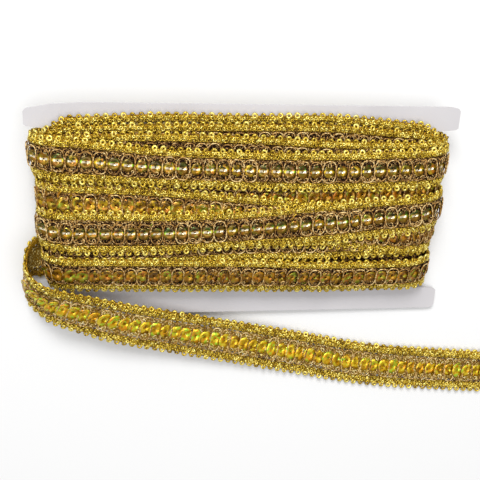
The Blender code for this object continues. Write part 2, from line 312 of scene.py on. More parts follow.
@dataclass(frozen=True)
class HologramFilm:
    """Embossed polyester film with an evaporated metal layer, punched: patches of changing hue.

    The highlight share sets how much painted highlight, a pale streak across the middle in a pale highlight
    colour, the cupped disc shows where it faces the light, and ends how much painted shade darkens its upper
    and lower parts, where they turn away, toward the painted shade colours upper and lower.
    """

    name: str
    hues: tuple[tuple[float, str], ...]
    # upper and lower: colours of the painted shade and painted reflection on the disc's upper and lower parts
    upper: str
    lower: str
    # The pale colour and the share of the painted highlight across the disc
    highlight_colour: str = "#fff2d2"
    highlight_share: float = 0.0
    ends: float = 0.0
    patch_mm: float = 1.2
    roughness: float = 0.22
    metallic: float = 0.5

    def build(self) -> bpy.types.Material:
        """Returns the film's material."""
        made = MaterialBuilder(self.name)
        patch = made.noise(1 / (self.patch_mm * MM), 1.0)
        number = made.split(made.cells(self.patch_mm)["Color"])["X"]
        piece = made.stored("shade")
        hue = made.math("MULTIPLY_ADD", number, 0.44, 0.27)
        offset = made.math("MULTIPLY_ADD", piece, 0.16, -0.08)
        colour = made.ramp(made.math("ADD", hue, offset), *self.hues)
        disc = made.split(made.add("ShaderNodeUVMap", {"uv_map": "disc"}).outputs["UV"])
        height = made.math("SUBTRACT", disc["Y"], made.math("MULTIPLY", patch, 0.10))
        # Painted shade: the disc's upper and lower parts darken where they would turn from the light
        end_shade_zones = made.ramp(
            height, (0.34, self.ends), (0.40, 0.0), (0.54, 0.0), (0.60, self.ends), (1.0, self.ends))
        end_shade_colour = made.ramp(height, (0.44, self.lower), (0.52, self.upper))
        turned = made.add(
            "ShaderNodeMath", {"operation": "MULTIPLY_ADD", 1: 0.9, 2: 0.45, "use_clamp": True},
            {0: piece})
        end_shaded = made.mix(made.math("MULTIPLY", end_shade_zones, turned.outputs[0]), colour, end_shade_colour)
        # Painted highlight: a pale streak across the disc's middle, where it would face the light
        band = made.ramp(height, (0.34, 0.0), (0.38, self.highlight_share), (0.49, self.highlight_share), (0.53, 0.0))
        width = made.ramp(disc["X"], (0.16, 0.0), (0.26, 1.0), (0.72, 1.0), (0.80, 0.0))
        highlight_colour = made.add("ShaderNodeRGB").outputs[0]
        highlight_colour.default_value = linear(self.highlight_colour)
        highlighted = made.mix(made.math("MULTIPLY", band, width), end_shaded, highlight_colour)
        return made.end(highlighted, (patch, 0.22, 0.0003), {
            "Roughness": self.roughness, "Metallic": self.metallic})


class Sequins(Enum):
    """How a row's sequins catch the light."""

    BARRED = "barred"
    BRIGHT = "bright"
    GOLDEN = "golden"
    SHADED = "shaded"


# Each look is the same gold film, with its row's light or shade painted into the colours
FILMS = {
    # Turned from the light: a painted highlight streak, with painted shade and reflection above and below it
    Sequins.BARRED: HologramFilm(
        "punched hologram film, turned from the light",
        ((0.30, "#4b470d"), (0.42, "#b08a10"), (0.50, "#eccb24"), (0.58, "#dd841a"), (0.70, "#8fbe2a")),
        upper="#1c1a0a", lower="#7a5414", highlight_share=1.0, ends=0.85, patch_mm=1.0),
    # In full light: the brighter, yellower hues are painted light
    Sequins.BRIGHT: HologramFilm(
        "punched hologram film, gold",
        ((0.28, "#8a6208"), (0.40, "#d6a810"), (0.50, "#fbe63a"), (0.57, "#f09a1c"), (0.63, "#e8c41c"),
         (0.70, "#bce83c")),
        upper="#8c7a10", lower="#b0700f", ends=0.15, patch_mm=1.1),
    # Partly in shade: the darker hues are painted shade
    Sequins.GOLDEN: HologramFilm(
        "punched hologram film, deep gold",
        ((0.28, "#5f4206"), (0.42, "#a0740c"), (0.50, "#dab41c"), (0.58, "#cc7c1a"), (0.70, "#a0b030")),
        upper="#4c3c0c", lower="#6a440e", ends=0.45),
    # In shade: the darker, more orange hues are painted shade
    Sequins.SHADED: HologramFilm(
        "punched hologram film, amber",
        ((0.28, "#5b3c08"), (0.42, "#9a6a10"), (0.50, "#dba41f"), (0.58, "#c87416"), (0.70, "#aab82c")),
        upper="#4a3c10", lower="#5b3a10", ends=0.4),
}


def built(maker: Any) -> Any:
    """Returns a dataclass's field that holds what this maker builds."""
    return field(default_factory=maker.build)


def all_built(makers: dict[Sequins, Any]) -> Any:
    """Returns a dataclass's field that holds what each of these makers builds."""
    return field(default_factory=lambda: {look: maker.build() for look, maker in makers.items()})


@dataclass
class Palette:
    """All the materials, made once."""

    board: bpy.types.Material = built(CoatedBoard())
    gimp: bpy.types.Material = built(MetallisedCord(
        "metallised gimp cord, gold", "#67490a", "#cfae2a", "#fbf08e"))
    loop: bpy.types.Material = built(MetallisedCord(
        "lurex thread, antique gold", "#5f3c16", "#b1833c", "#ecd092",
        grain_mm=0.8, spread=0.6, roughness=0.42, metallic=0.3))
    stitch: bpy.types.Material = built(MetallisedCord(
        "crochet thread, brown and gold", "#0e0503", "#5a3412", "#f4d08a",
        grain_mm=0.7, spread=0.35, roughness=0.55, metallic=0.2, sheen_level=0.15))
    # Lit copies of the stitch thread and the ground, for open mesh that lies flat to the light: their paler,
    # yellower colours and pale flecks are painted light
    lit_stitch: bpy.types.Material = built(MetallisedCord(
        "crochet thread, tan and gold", "#5f450c", "#cfa938", "#fff2bc",
        grain_mm=0.7, spread=0.4, roughness=0.5, metallic=0.15))
    ground: bpy.types.Material = built(CrochetedGround())
    lit_ground: bpy.types.Material = built(CrochetedGround(
        "crocheted viscose ground, tan in the light", "#54390a", "#a58026", "#f8e08c"))
    film: dict[Sequins, bpy.types.Material] = all_built(FILMS)


def smooth_between(values: tuple[float, ...], place: float) -> float:
    """Reads a smooth curve through evenly spaced values.

    Args:
        values: the values.
        place: where, from 0 to the number of values less 1.

    Returns:
        The value there.
    """
    last = len(values) - 1
    index = min(int(place), last - 1)
    t = place - index
    before = values[max(index - 1, 0)]
    here, after = values[index], values[index + 1]
    beyond = values[min(index + 2, last)]
    linear_part = (after - before) * t
    square = (2 * before - 5 * here + 4 * after - beyond) * t**2
    cube = (3 * here - before - 3 * after + beyond) * t**3
    return here + 0.5 * (linear_part + square + cube)


def card_frame() -> Matrix:
    """Returns the matrix that takes the card's (u, v, w) to the world, as in the CAD model."""
    lowest = 0.5 * CARD_HEIGHT * math.sin(CARD_LEAN) + 0.5 * CARD_LENGTH * math.sin(CARD_ROLL)
    height = lowest + 0.5 * CARD_THICKNESS + CARD_EDGE_LIFT
    lean = Matrix.Rotation(CARD_LEAN, 4, "X")
    return Matrix.Translation((0.0, 0.0, height)) @ lean @ Matrix.Rotation(CARD_ROLL, 4, "Y")


def resting_height(x: float) -> float:
    """Returns how high the winding's underside is at x: on the surface, or over the loose end."""
    share = (x - TAIL_ROOM_START) / (TAIL_ROOM_FULL - TAIL_ROOM_START)
    share = min(max(share, 0.0), 1.0)
    return TAIL_ROOM * share * share * (3 - 2 * share)


def resample(points: list[Vector], count: int, closed: bool) -> list[Vector]:
    """Spaces points evenly along a line.

    Args:
        points: the line's points.
        count: how many points to return.
        closed: whether the line returns to its first point.

    Returns:
        The points, without a repeat of the first one on a closed line.
    """
    line = points + [points[0]] if closed else points
    reach = [0.0]
    for a, b in zip(line, line[1:]):
        reach.append(reach[-1] + (b - a).length)
    steps = count if closed else count - 1
    out, index = [], 0
    for i in range(count):
        want = reach[-1] * i / steps
        while index < len(line) - 2 and reach[index + 1] < want:
            index += 1
        share = (want - reach[index]) / max(reach[index + 1] - reach[index], 1e-12)
        out.append(line[index].lerp(line[index + 1], min(max(share, 0.0), 1.0)))
    return out


@dataclass(frozen=True)
class Place:
    """One place on a strip of braid: where it is, and which way the braid runs and faces."""

    point: Vector
    along: Vector
    out: Vector


class Strip:
    """A strip of braid that lies along three rails: lower edging, middle and upper edging."""

    SAMPLES = 480

    def __init__(
        self, rails: list[list[Vector]], closed: bool, rest: Callable[[float], float]
    ) -> None:
        """Evens out the rails.

        Args:
            rails: the lower, middle and upper rail in metres, in the world.
            closed: whether the strip goes once round and meets itself.
            rest: gives the lowest height of the strip's middle layer at x.
        """
        self.closed = closed
        self.rails = []
        for rail in rails:
            lifted = [Vector((p.x, p.y, max(p.z, rest(p.x)))) for p in rail]
            self.rails.append(resample(lifted, self.SAMPLES, closed))
        middle = self.rails[1]
        self.length = sum((b - a).length for a, b in zip(middle, middle[1:]))
        self.length += (middle[0] - middle[-1]).length if closed else 0.0

    def rail_point(self, number: int, share: float) -> Vector:
        """Returns a rail's point at a share of its length."""
        rail = self.rails[number]
        steps = len(rail) if self.closed else len(rail) - 1
        at = share * steps
        if self.closed:
            index = math.floor(at)
            return rail[index % steps].lerp(rail[(index + 1) % steps], at - index)
        at = min(max(at, 0.0), float(steps))
        index = min(int(at), steps - 1)
        return rail[index].lerp(rail[index + 1], at - index)

    def point(self, share: float, across: float) -> Vector:
        """Returns the middle layer's point.

        Args:
            share: the place along, from 0 to 1.
            across: the place across, in millimetres of the flat braid from its middle.

        Returns:
            The point in metres.
        """
        y = across / EDGING_PLACE
        inner = min(max(y, -1.0), 1.0)
        lower, middle, upper = (self.rail_point(k, share) for k in range(3))
        bowed = (lower * (0.5 * inner * (inner - 1)) + middle * (1 - inner * inner)
                 + upper * (0.5 * inner * (inner + 1)))
        if y == inner:
            return bowed
        edge = (upper - middle) if y > 0 else (middle - lower)
        return bowed + edge * (y - inner)

    def place(self, share: float, across: float, lift: float = 0.0) -> Place:
        """Returns a place on the strip.

        Args:
            share: the place along, from 0 to 1.
            across: the place across, in millimetres of the flat braid from its middle.
            lift: how far it stands off the middle layer, in metres.

        Returns:
            The place.
        """
        step = 0.0015
        here = self.point(share, across)
        along = self.point(share + step, across) - self.point(share - step, across)
        wide = self.point(share, across + 0.6) - self.point(share, across - 0.6)
        along.normalize()
        out = along.cross(wide).normalized()
        return Place(here + out * lift, along, out)


def end_spread(table: tuple[tuple[float, float], ...], v: float) -> float:
    """Reads how much further an end reaches.

    Args:
        table: places up the card with their spread, in millimetres.
        v: the place up the card in millimetres.

    Returns:
        The spread in millimetres.
    """
    if v <= table[0][0]:
        return table[0][1]
    for (v_low, low), (v_high, high) in zip(table, table[1:]):
        if v <= v_high:
            return low + (high - low) * (v - v_low) / (v_high - v_low)
    return table[-1][1]


@dataclass(frozen=True)
class WoundLine:
    """One line of the winding, in millimetres on the card's frame.

    v_front holds its places up the card at five stations from left to right, v_ends its places
    at the two very ends, v_back its place at the middle of the back, and height how far it
    stands off the card.
    """

    v_front: tuple[float, ...]
    v_ends: tuple[float, float]
    v_back: float
    height: float

    def end_points(
        self, side: int, course: tuple[float, float, float], heights: tuple[float, float]
    ) -> list[tuple[float, float, float]]:
        """Follows one rounded end.

        Args:
            side: 1 for the right end, -1 for the left one.
            course: places up the card before the end, at its middle and after it, in metres.
            heights: how far the line stands off the card before and after the end, in metres.

        Returns:
            The points, from the first height to the second.
        """
        start, reach = self.span(side)
        points = []
        for i in range(1, END_STEPS + 1):
            angle = math.pi * i / (END_STEPS + 1)
            first = angle < 0.5 * math.pi
            outward = math.sin(angle) ** (2 / END_POWER)
            w = abs(math.cos(angle)) ** (2 / END_POWER) * heights[0 if first else 1]
            v = course[1] + (course[0 if first else 2] - course[1]) * (1 - math.sin(angle))
            points.append((side * (start + (reach - start) * outward), v, w))
        return points

    def span(self, side: int) -> tuple[float, float]:
        """Returns where an end starts to turn and how far it reaches, in metres."""
        table, v = (RIGHT_SPREAD, self.v_ends[1]) if side > 0 else (LEFT_SPREAD, self.v_ends[0])
        reach = 0.5 * WAIST_LENGTH + GAP + (END_FULLNESS * self.height + end_spread(table, v)) * MM
        return reach - END_ROUND - END_START * self.height * MM, reach

    def rail(self) -> list[Vector]:
        """Follows the line once round the card, by the CAD model's rule.

        Returns:
            The line's points in the world.
        """
        front, back = self.height * MM, -BACK_FULLNESS * self.height * MM
        left, right = self.span(-1)[0], self.span(1)[0]
        shares = [i / FACE_STEPS for i in range(FACE_STEPS + 1)]
        behind = (self.v_ends[1], self.v_back, self.v_back, self.v_back, self.v_ends[0])
        v_left, v_right = self.v_ends[0] * MM, self.v_ends[1] * MM
        line = [(-left + (left + right) * s, smooth_between(self.v_front, s * 4) * MM, front)
                for s in shares]
        line += self.end_points(1, (self.v_front[-1] * MM, v_right, v_right), (front, back))
        line += [(right - (left + right) * s, smooth_between(behind, s * 4) * MM, back)
                 for s in shares]
        line += self.end_points(-1, (v_left, v_left, self.v_front[0] * MM), (back, front))
        matrix = card_frame()
        return [matrix @ Vector(p) for p in line]


class GeometryTree(NodeBuilder):
    """Builds a geometry tree with named inputs."""

    def __init__(self, name: str, inputs: dict[str, tuple[str, Any]]) -> None:
        """Starts the tree.

        Args:
            name: the tree's name.
            inputs: each input's socket type and default value, by name.
        """
        super().__init__(bpy.data.node_groups.new(name, "GeometryNodeTree"))
        face = self.tree.interface
        face.new_socket(name="Geometry", in_out="INPUT", socket_type="NodeSocketGeometry")
        for label, (kind, value) in inputs.items():
            socket = face.new_socket(name=label, in_out="INPUT", socket_type=kind)
            if value is not None:
                socket.default_value = value
        face.new_socket(name="Geometry", in_out="OUTPUT", socket_type="NodeSocketGeometry")
        self.input = self.tree.nodes.new("NodeGroupInput")

    def given(self, name: str) -> bpy.types.NodeSocket:
        """Returns the socket of a named input."""
        return self.input.outputs[name]

    def end(self, shapes: bpy.types.NodeSocket) -> None:
        """Realizes the instances, smooths them, sets their material and closes the tree."""
        real = self.add("GeometryNodeRealizeInstances", links={0: shapes})
        smooth = self.add("GeometryNodeSetShadeSmooth", links={"Geometry": real.outputs[0]})
        finish = self.add("GeometryNodeSetMaterial", links={
            "Geometry": smooth.outputs[0], "Material": self.given("Material")})
        output = self.tree.nodes.new("NodeGroupOutput")
        self.tree.links.new(finish.outputs[0], output.inputs[0])

    def scatter(self, shape: bpy.types.NodeSocket) -> bpy.types.NodeSocket:
        """Sets a shape on every guide point, turned to the braid, each a little different.

        Args:
            shape: the shape's geometry, lying in its own XY plane.

        Returns:
            The instances, each with its own number from 0 to 1 as "shade".
        """
        out = self.add("GeometryNodeInputNamedAttribute", {"data_type": "FLOAT_VECTOR", "Name": "out"})
        along = self.add(
            "GeometryNodeInputNamedAttribute", {"data_type": "FLOAT_VECTOR", "Name": "along"})
        turn = self.add(
            "FunctionNodeAxesToRotation", {"primary_axis": "Z", "secondary_axis": "X"},
            {"Primary Axis": out.outputs["Attribute"], "Secondary Axis": along.outputs["Attribute"]})
        size = self.add(
            "FunctionNodeRandomValue", {"data_type": "FLOAT", 2: 0.93, 3: 1.07},
            {"Seed": self.given("Seed")})
        copies = self.add("GeometryNodeInstanceOnPoints", links={
            "Points": self.given("Geometry"), "Instance": shape,
            "Rotation": turn.outputs[0], "Scale": size.outputs[1]})
        low = self.add("ShaderNodeVectorMath", {"operation": "SCALE", "Scale": -1.0},
                       {0: self.given("Turn Spread")})
        wobble = self.add(
            "FunctionNodeRandomValue", {"data_type": "FLOAT_VECTOR"},
            {0: low.outputs[0], 1: self.given("Turn Spread"), "Seed": self.given("Seed")})
        turned = self.add("GeometryNodeRotateInstances", links={
            "Instances": copies.outputs[0], "Rotation": wobble.outputs[0]})
        shade = self.add(
            "FunctionNodeRandomValue", {"data_type": "FLOAT"}, {"Seed": self.given("Seed")})
        kept = self.add(
            "GeometryNodeStoreNamedAttribute",
            {"data_type": "FLOAT", "domain": "INSTANCE", "Name": "shade"},
            {"Geometry": turned.outputs[0], "Value": shade.outputs[1]})
        return kept.outputs[0]


def cord_ring_tree() -> bpy.types.NodeTree:
    """Builds the tree that sets a closed ring of cord on every guide point.

    Returns:
        The tree, for picots, thread loops and crochet stitches.
    """
    tree = GeometryTree("rings of cord", {
        "Ring Width": ("NodeSocketFloat", 0.002), "Ring Height": ("NodeSocketFloat", 0.002),
        "Cord Radius": ("NodeSocketFloat", 0.0004), "Roundness": ("NodeSocketFloat", 1.0),
        "Ring Steps": ("NodeSocketInt", 12),
        "Cord Sides": ("NodeSocketInt", 5), "Turn Spread": ("NodeSocketVector", (0.1, 0.1, 0.1)),
        "Seed": ("NodeSocketInt", 1), "Material": ("NodeSocketMaterial", None)})
    ring = tree.add("GeometryNodeCurvePrimitiveCircle", {"Radius": 0.5},
                    {"Resolution": tree.given("Ring Steps")})
    parts = tree.split(tree.add("GeometryNodeInputPosition").outputs[0])
    squared = []
    for axis in "XY":
        double = tree.math("MULTIPLY", parts[axis], 2.0)
        bent = tree.math("POWER", tree.math("ABSOLUTE", double), tree.given("Roundness"))
        half = tree.math("MULTIPLY", bent, 0.5)
        squared.append(tree.math("MULTIPLY", half, tree.math("SIGN", double)))
    where = tree.add("ShaderNodeCombineXYZ", links={0: squared[0], 1: squared[1]})
    rounded = tree.add("GeometryNodeSetPosition", links={
        "Geometry": ring.outputs[0], "Position": where.outputs[0]})
    size = tree.add("ShaderNodeCombineXYZ", {2: 1.0},
                    {0: tree.given("Ring Width"), 1: tree.given("Ring Height")})
    oval = tree.add("GeometryNodeTransform", links={
        "Geometry": rounded.outputs[0], "Scale": size.outputs[0]})
    section = tree.add("GeometryNodeCurvePrimitiveCircle", links={
        "Resolution": tree.given("Cord Sides"), "Radius": tree.given("Cord Radius")})
    cord = tree.add("GeometryNodeCurveToMesh", links={
        "Curve": oval.outputs[0], "Profile Curve": section.outputs[0]})
    tree.end(tree.scatter(cord.outputs[0]))
    return tree.tree


def shape_tree() -> bpy.types.NodeTree:
    """Builds the tree that sets a copy of a given shape on every guide point.

    Returns:
        The tree, for sequins.
    """
    tree = GeometryTree("punched shapes", {
        "Shape": ("NodeSocketObject", None), "Turn Spread": ("NodeSocketVector", (0.1, 0.1, 0.1)),
        "Seed": ("NodeSocketInt", 1), "Material": ("NodeSocketMaterial", None)})
    shape = tree.add("GeometryNodeObjectInfo", links={"Object": tree.given("Shape")})
    tree.end(tree.scatter(shape.outputs["Geometry"]))
    return tree.tree


def twisted_cord_tree() -> bpy.types.NodeTree:
    """Builds the tree that lays a two-ply twisted cord along the guide's line.

    Returns:
        The tree, for the inner strand of the gimp edging.
    """
    tree = GeometryTree("twisted cord", {
        "Cord Width": ("NodeSocketFloat", 0.0009), "Cord Height": ("NodeSocketFloat", 0.0005),
        "Cord Sides": ("NodeSocketInt", 6), "Twists": ("NodeSocketInt", 100),
        "Material": ("NodeSocketMaterial", None)})
    line = tree.add("GeometryNodeMeshToCurve", links={0: tree.given("Geometry")})
    place = tree.add("GeometryNodeSplineParameter")
    angle = tree.math("MULTIPLY", place.outputs["Factor"], tree.given("Twists"))
    tilted = tree.add("GeometryNodeSetCurveTilt", links={
        "Curve": line.outputs[0], "Tilt": tree.math("MULTIPLY", angle, 2 * math.pi)})
    section = tree.add("GeometryNodeCurvePrimitiveCircle", {"Radius": 0.5},
                       {"Resolution": tree.given("Cord Sides")})
    size = tree.add("ShaderNodeCombineXYZ", {2: 1.0},
                    {0: tree.given("Cord Width"), 1: tree.given("Cord Height")})
    oval = tree.add("GeometryNodeTransform", links={
        "Geometry": section.outputs[0], "Scale": size.outputs[0]})
    cord = tree.add("GeometryNodeCurveToMesh", {"Fill Caps": True}, {
        "Curve": tilted.outputs[0], "Profile Curve": oval.outputs[0]})
    tree.end(cord.outputs[0])
    return tree.tree


def put_in_scene(name: str, data: bpy.types.ID) -> bpy.types.Object:
    """Returns a new object in the scene, at the origin, made of this data."""
    thing = bpy.data.objects.new(name, data)
    bpy.context.scene.collection.objects.link(thing)
    return thing


def guide_mesh(places: list[Place], joined: bool = False, closed: bool = False) -> bpy.types.Mesh:
    """Makes the points that a geometry tree reads.

    Args:
        places: the places.
        joined: whether edges join them in order.
        closed: whether the last one joins the first.

    Returns:
        A mesh with the vectors "along" and "out" on its points.
    """
    mesh = bpy.data.meshes.new("guide")
    count = len(places)
    edges = [(i, i + 1) for i in range(count - 1)] if joined else []
    edges += [(count - 1, 0)] if joined and closed else []
    mesh.from_pydata([p.point for p in places], edges, [])
    for name, vectors in (("along", [p.along for p in places]), ("out", [p.out for p in places])):
        attribute = mesh.attributes.new(name, "FLOAT_VECTOR", "POINT")
        attribute.data.foreach_set("vector", [c for v in vectors for c in v])
    return mesh


def grow(
    name: str, guide: bpy.types.Mesh, tree: bpy.types.NodeTree, values: dict[str, Any]
) -> bpy.types.Object:
    """Runs a geometry tree on a guide and keeps the result as a plain mesh.

    Args:
        name: the piece's name.
        guide: the guide mesh.
        tree: the geometry tree.
        values: the tree's inputs by name.

    Returns:
        The finished piece, at the origin.
    """
    piece = put_in_scene(name, guide)
    modifier = piece.modifiers.new("making", "NODES")
    modifier.node_group = tree
    for item in tree.interface.items_tree:
        if item.item_type == "SOCKET" and item.in_out == "INPUT" and item.name in values:
            modifier[item.identifier] = values[item.name]
    depsgraph = bpy.context.evaluated_depsgraph_get()
    mesh = bpy.data.meshes.new_from_object(piece.evaluated_get(depsgraph), depsgraph=depsgraph)
    piece.modifiers.remove(modifier)
    piece.data = mesh
    mesh.name = name
    bpy.data.meshes.remove(guide)
    if not mesh.materials:
        mesh.materials.append(values["Material"])
    for vertex in mesh.vertices:
        vertex.co.z = max(vertex.co.z, LOWEST)
    return piece


def plain_piece(
    name: str, verts: list[Vector], faces: list[tuple[int, ...]], material: bpy.types.Material
) -> bpy.types.Object:
    """Makes a smooth-shaded mesh piece at the origin.

    Args:
        name: the piece's name.
        verts: its vertices in metres.
        faces: its faces.
        material: its material.

    Returns:
        The piece.
    """
    mesh = bpy.data.meshes.new(name)
    mesh.from_pydata([(v[0], v[1], max(v[2], LOWEST)) for v in verts], [], faces)
    mesh.materials.append(material)
    mesh.shade_smooth()
    return put_in_scene(name, mesh)


@dataclass
class SequinShape:
    """One cupped sequin with its centre hole, as a thin closed shell in the XY plane."""

    radius: float
    hole: float
    cup: float
    film: float = 0.00010
    steps: int = 12

    def build(self) -> bpy.types.Object:
        """Returns the shape as an object outside the scene, with its "disc" map."""
        rings = ((self.hole, 0.0), (0.60 * self.radius, 0.22 * self.cup), (self.radius, self.cup))
        section = [(r, z) for r, z in rings]
        section += [(r, z - self.film) for r, z in reversed(rings)]
        verts, faces = [], []
        for i in range(self.steps):
            angle = 2 * math.pi * i / self.steps
            verts += [(r * math.cos(angle), r * math.sin(angle), z) for r, z in section]
        count = len(section)
        for i in range(self.steps):
            after = (i + 1) % self.steps
            for j in range(count):
                k = (j + 1) % count
                faces.append((i * count + j, i * count + k, after * count + k, after * count + j))
        mesh = bpy.data.meshes.new("sequin shape")
        mesh.from_pydata(verts, [], faces)
        disc = mesh.uv_layers.new(name="disc")
        for loop in mesh.loops:
            x, y, _ = mesh.vertices[loop.vertex_index].co
            disc.data[loop.index].uv = (0.5 + 0.5 * x / self.radius, 0.5 + 0.5 * y / self.radius)
        return bpy.data.objects.new("sequin shape", mesh)


@dataclass(frozen=True)
class Rows:
    """Which rows of the braid a strip shows, where no other turn lies over them."""

    upper_edging: bool = True
    lower_edging: bool = True
    upper_mesh: bool = True
    lower_mesh: bool = True
    loops: bool = True
    sequins: bool = True


@dataclass
class Workshop:
    """What every length of braid is made with: materials, trees and the sequins' shapes."""

    palette: Palette = field(default_factory=Palette)
    rings: bpy.types.NodeTree = field(default_factory=cord_ring_tree)
    shapes: bpy.types.NodeTree = field(default_factory=shape_tree)
    cords: bpy.types.NodeTree = field(default_factory=twisted_cord_tree)
    sequins: dict[Sequins, bpy.types.Object] = all_built({
        Sequins.BARRED: SequinShape(radius=0.0025, hole=0.00030, cup=0.00030),
        Sequins.BRIGHT: SequinShape(radius=0.0032, hole=0.00032, cup=0.00022),
        Sequins.GOLDEN: SequinShape(radius=0.0030, hole=0.00035, cup=0.00026),
        Sequins.SHADED: SequinShape(radius=0.0029, hole=0.00040, cup=0.00042)})


@dataclass
class Braid:
    """One length of sequin gimp braid on a strip: ground, edgings, thread loops and sequins.

    Sizes are in metres, but for places across, which are in millimetres of the flat braid.
    ground_out, picot_out, loop_in and strand_in are places across from the edging's middle;
    loop_in holds two rows, each with its even and odd loops. stitch_rows holds each stitch row's
    place across from mesh_place and its height in millimetres. open_zone is where the open ground
    has holes, and from gold_from outwards the gimp's gold threads run through the ground. The
    lifts are heights off the ground's middle layer.
    """

    name: str
    strip: Strip
    rows: Rows
    look: Sequins
    seed: int
    sequin_pitch: float
    # Whether the ground has open holes and takes the lit copies of ground and stitch, with their painted
    # light
    open_lit_mesh: bool = False
    sequin_lean: float = 12.0
    picot_pitch: float = 0.00325
    picot_size: float = 0.00160
    gimp_radius: float = 0.00046
    stitch_size: float = 0.00115
    loop_height: float = 0.0080
    thread_radius: float = 0.00023
    strand_pitch: float = 0.0009
    strand_twist: float = 0.0030
    stitch_pitch: float = 0.00105
    picot_lift: float = 0.00060
    gimp_lift: float = 0.00075
    strand_lift: float = 0.00055
    loop_lift: float = 0.00115
    sequin_lift: float = 0.00062
    mesh_place: float = 5.2
    ground_out: float = 0.8
    picot_out: float = 0.85
    loop_in: tuple[tuple[float, float], ...] = ((0.45, 0.25), (1.25, 1.40))
    strand_in: float = 2.2
    stitch_rows: tuple[tuple[float, float], ...] = ((0.55, 0.45), (-0.35, 0.45), (-1.25, 0.45), (-2.15, 1.10))
    open_zone: tuple[float, float] = (4.2, 6.6)
    gold_from: float = 6.4

    def shares(self, pitch: float, shift: float = 0.0) -> list[float]:
        """Returns evenly spaced places along the strip, about pitch apart."""
        count = max(2, round(self.strip.length / pitch))
        return [(i + 0.5 + shift) / count for i in range(count)]

    def ground(self, shop: Workshop) -> bpy.types.Object:
        """Makes the crocheted ground as a closed thin sheet, with open stitches if it shows any.

        Args:
            shop: the materials and trees.

        Returns:
            The ground.
        """
        half = EDGING_PLACE + self.ground_out
        cells, pitch = (16, 0.0012) if self.open_lit_mesh else (8, 0.0024)
        count = round(self.strip.length / pitch)
        columns = count if self.strip.closed else count + 1
        across = [half * (2 * j / cells - 1) for j in range(cells + 1)]
        verts: list[Vector] = []
        for side in (0.5, -0.5):
            for i in range(columns):
                for y in across:
                    verts.append(self.strip.place(i / count, y, side * GROUND_THICKNESS).point)
        layer, width = columns * (cells + 1), cells + 1

        def corner(i: int, j: int, under: bool) -> int:
            """Returns the number of a vertex."""
            return (i % columns) * width + j + (layer if under else 0)

        def wall(a: tuple[int, int], b: tuple[int, int]) -> tuple[int, ...]:
            """Returns the face between the layers from one place to the next."""
            return corner(*a, False), corner(*b, False), corner(*b, True), corner(*a, True)

        def is_open(i: int, j: int) -> bool:
            """Tells whether a cell of the ground is an open stitch."""
            if not self.open_lit_mesh or (not self.strip.closed and not 0 < i < count - 1):
                return False
            y = 0.5 * (across[j] + across[j + 1])
            held = self.open_zone[0] < abs(y) < self.open_zone[1]
            return held and (i + j) % 2 == 0 and (i * 7 + j * 3) % 5 > 0

        faces: list[tuple[int, ...]] = []
        for i in range(count):
            for j in range(cells):
                a, b = corner(i, j, False), corner(i + 1, j, False)
                c, d = corner(i + 1, j + 1, False), corner(i, j + 1, False)
                under = [corner(*p, True) for p in ((i, j), (i + 1, j), (i + 1, j + 1), (i, j + 1))]
                if is_open(i, j):
                    ring, low = (a, b, c, d), under
                    for k in range(4):
                        m = (k + 1) % 4
                        faces.append((ring[m], ring[k], low[k], low[m]))
                    continue
                faces += [(a, b, c, d), tuple(reversed(under))]
            faces.append(wall((i + 1, 0), (i, 0)))
            faces.append(wall((i, cells), (i + 1, cells)))
        if not self.strip.closed:
            for j in range(cells):
                faces.append(wall((0, j), (0, j + 1)))
                faces.append(wall((count, j + 1), (count, j)))
        # An open mesh takes the ground's lit copy, with its light painted in
        material = shop.palette.lit_ground if self.open_lit_mesh else shop.palette.ground
        piece = plain_piece(self.name + "_ground", verts, faces, material)
        edge = piece.data.attributes.new("edge", "FLOAT", "POINT")
        gold = [1.0 if abs(y) > self.gold_from else 0.0 for y in across]
        edge.data.foreach_set("value", gold * (2 * columns))
        return piece

    def edging(self, shop: Workshop, side: int) -> list[bpy.types.Object]:
        """Makes one gimp edging: picots, two rows of close loops and a twisted inner strand.

        Args:
            shop: the materials and trees.
            side: 1 for the upper edge, -1 for the lower one.

        Returns:
            The picots, the loops and the strand.
        """
        edge = "upper" if side > 0 else "lower"
        across = side * (EDGING_PLACE + self.picot_out)
        places = [self.strip.place(share, across, self.picot_lift)
                  for share in self.shares(self.picot_pitch)]
        picots = grow(f"{self.name}_{edge}_picots", guide_mesh(places), shop.rings, {
            "Ring Width": self.picot_size, "Ring Height": self.picot_size,
            "Cord Radius": self.gimp_radius, "Ring Steps": 10, "Cord Sides": 5,
            "Turn Spread": (0.35, 0.35, 0.0), "Seed": self.seed + side,
            "Material": shop.palette.gimp})
        places = []
        for row, shift in zip(self.loop_in, (0.0, 0.5)):
            for number, share in enumerate(self.shares(0.5 * self.picot_pitch, shift)):
                across = EDGING_PLACE - row[number % 2]
                places.append(self.strip.place(share, side * across, self.gimp_lift))
        loops = grow(f"{self.name}_{edge}_gimp_loops", guide_mesh(places), shop.rings, {
            "Ring Width": self.stitch_size, "Ring Height": 0.8 * self.stitch_size,
            "Cord Radius": 0.00034, "Ring Steps": 7, "Cord Sides": 4,
            "Turn Spread": (0.7, 0.7, 0.8), "Seed": self.seed + 5 + side,
            "Material": shop.palette.gimp})
        closed = self.strip.closed
        across = side * (EDGING_PLACE - self.strand_in)
        line = [self.strip.place(share, across, self.strand_lift)
                for share in self.shares(self.strand_pitch)]
        strand = grow(f"{self.name}_{edge}_strand", guide_mesh(line, True, closed), shop.cords, {
            "Cord Width": 0.00085, "Cord Height": 0.00050, "Cord Sides": 5,
            "Twists": round(self.strip.length / self.strand_twist), "Material": shop.palette.gimp})
        return [picots, loops, strand]

